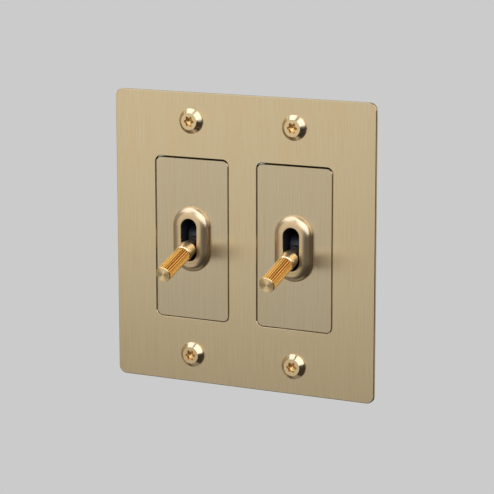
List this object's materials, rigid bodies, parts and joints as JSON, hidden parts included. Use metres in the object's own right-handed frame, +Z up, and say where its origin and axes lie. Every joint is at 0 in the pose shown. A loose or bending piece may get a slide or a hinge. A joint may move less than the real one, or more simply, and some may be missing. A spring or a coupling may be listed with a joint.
{
  "type": "toggle light switch",
  "caption": "Flat brushed-brass wall switch plate with flush inserts, slotted collars and fluted toggle levers, each throwing a changeover contact.",
  "frame": {"origin": "middle of the face plate's back, in the wall's plane", "axes": "+Y into the wall, +Z up, +X to the right as seen from the room"},
  "size_m": [0.116, 0.0596, 0.12],
  "materials": {
    "brushed_brass": "brushed lengthways, lacquered",
    "satin_brass": "satin",
    "polished_brass": "polished",
    "grip_brass": "turned and fluted, bright",
    "zinc_steel": "zinc plated",
    "spring_steel": "drawn and polished",
    "green_steel": "green dyed plating",
    "black_moulding": "moulded, fine matt",
    "black_nylon": "moulded, low sheen",
    "white_nylon": "moulded",
    "contact_brass": "stamped copper alloy",
    "contact_silver": "silver alloy",
    "terminal_screw_brass": "bright"
  },
  "bodies": {
    "base": {"face_plate": "brushed_brass", "plate_screws": "polished_brass", "left_insert_plate": "brushed_brass", "left_collar": "satin_brass", "left_collar_screws": "zinc_steel", "left_yoke": "zinc_steel", "left_ground_screw": "green_steel", "left_housing_cover": "black_moulding", "left_housing_body": "black_moulding", "left_housing_screws": "zinc_steel", "left_pivot_pin": "spring_steel", "left_common_terminal": "contact_brass", "left_upper_terminal": "contact_brass", "left_lower_terminal": "contact_brass", "left_fixed_contacts": "contact_silver", "left_terminal_screws": "terminal_screw_brass", "right_insert_plate": "brushed_brass", "right_collar": "satin_brass", "right_collar_screws": "zinc_steel", "right_yoke": "zinc_steel", "right_ground_screw": "green_steel", "right_housing_cover": "black_moulding", "right_housing_body": "black_moulding", "right_housing_screws": "zinc_steel", "right_pivot_pin": "spring_steel", "right_common_terminal": "contact_brass", "right_upper_terminal": "contact_brass", "right_lower_terminal": "contact_brass", "right_fixed_contacts": "contact_silver", "right_terminal_screws": "terminal_screw_brass"},
    "left_toggle": {"left_toggle_hub": "black_nylon", "left_lever_stem": "polished_brass", "left_grip": "grip_brass", "left_detent_spring": "spring_steel"},
    "left_plunger": {"left_plunger": "white_nylon"},
    "left_rocker": {"left_rocker": "contact_brass", "left_rocker_contacts": "contact_silver"},
    "right_toggle": {"right_toggle_hub": "black_nylon", "right_lever_stem": "polished_brass", "right_grip": "grip_brass", "right_detent_spring": "spring_steel"},
    "right_plunger": {"right_plunger": "white_nylon"},
    "right_rocker": {"right_rocker": "contact_brass", "right_rocker_contacts": "contact_silver"}
  },
  "joints": [
    {"name": "left_toggle_flip", "type": "hinge", "parent": "base", "child": "left_toggle", "pos_m": [-0.023, 0.006, 0], "axis": [-1, 0, 0], "range_deg": [0, 35.6]},
    {"name": "left_plunger_slide", "type": "slide", "parent": "left_toggle", "child": "left_plunger", "axis": [0, -0.9521, -0.3057], "range_m": [0, 0.0006], "stiffness_N_per_m": 800, "springref_m": -0.002, "deforming": ["left_detent_spring"]},
    {"name": "left_rocker_tilt", "type": "hinge", "parent": "base", "child": "left_rocker", "pos_m": [-0.023, 0.0202, 0], "axis": [-1, 0, 0], "range_deg": [-14, 0]},
    {"name": "right_toggle_flip", "type": "hinge", "parent": "base", "child": "right_toggle", "pos_m": [0.023, 0.006, 0], "axis": [-1, 0, 0], "range_deg": [0, 35.6]},
    {"name": "right_plunger_slide", "type": "slide", "parent": "right_toggle", "child": "right_plunger", "axis": [0, -0.9521, -0.3057], "range_m": [0, 0.0006], "stiffness_N_per_m": 800, "springref_m": -0.002, "deforming": ["right_detent_spring"]},
    {"name": "right_rocker_tilt", "type": "hinge", "parent": "base", "child": "right_rocker", "pos_m": [0.023, 0.0202, 0], "axis": [-1, 0, 0], "range_deg": [-14, 0]}
  ],
  "couplings": [
    {"joint": "left_rocker_tilt", "follows": "left_toggle_flip", "ratio": -0.39326},
    {"joint": "right_rocker_tilt", "follows": "right_toggle_flip", "ratio": -0.39326}
  ]
}
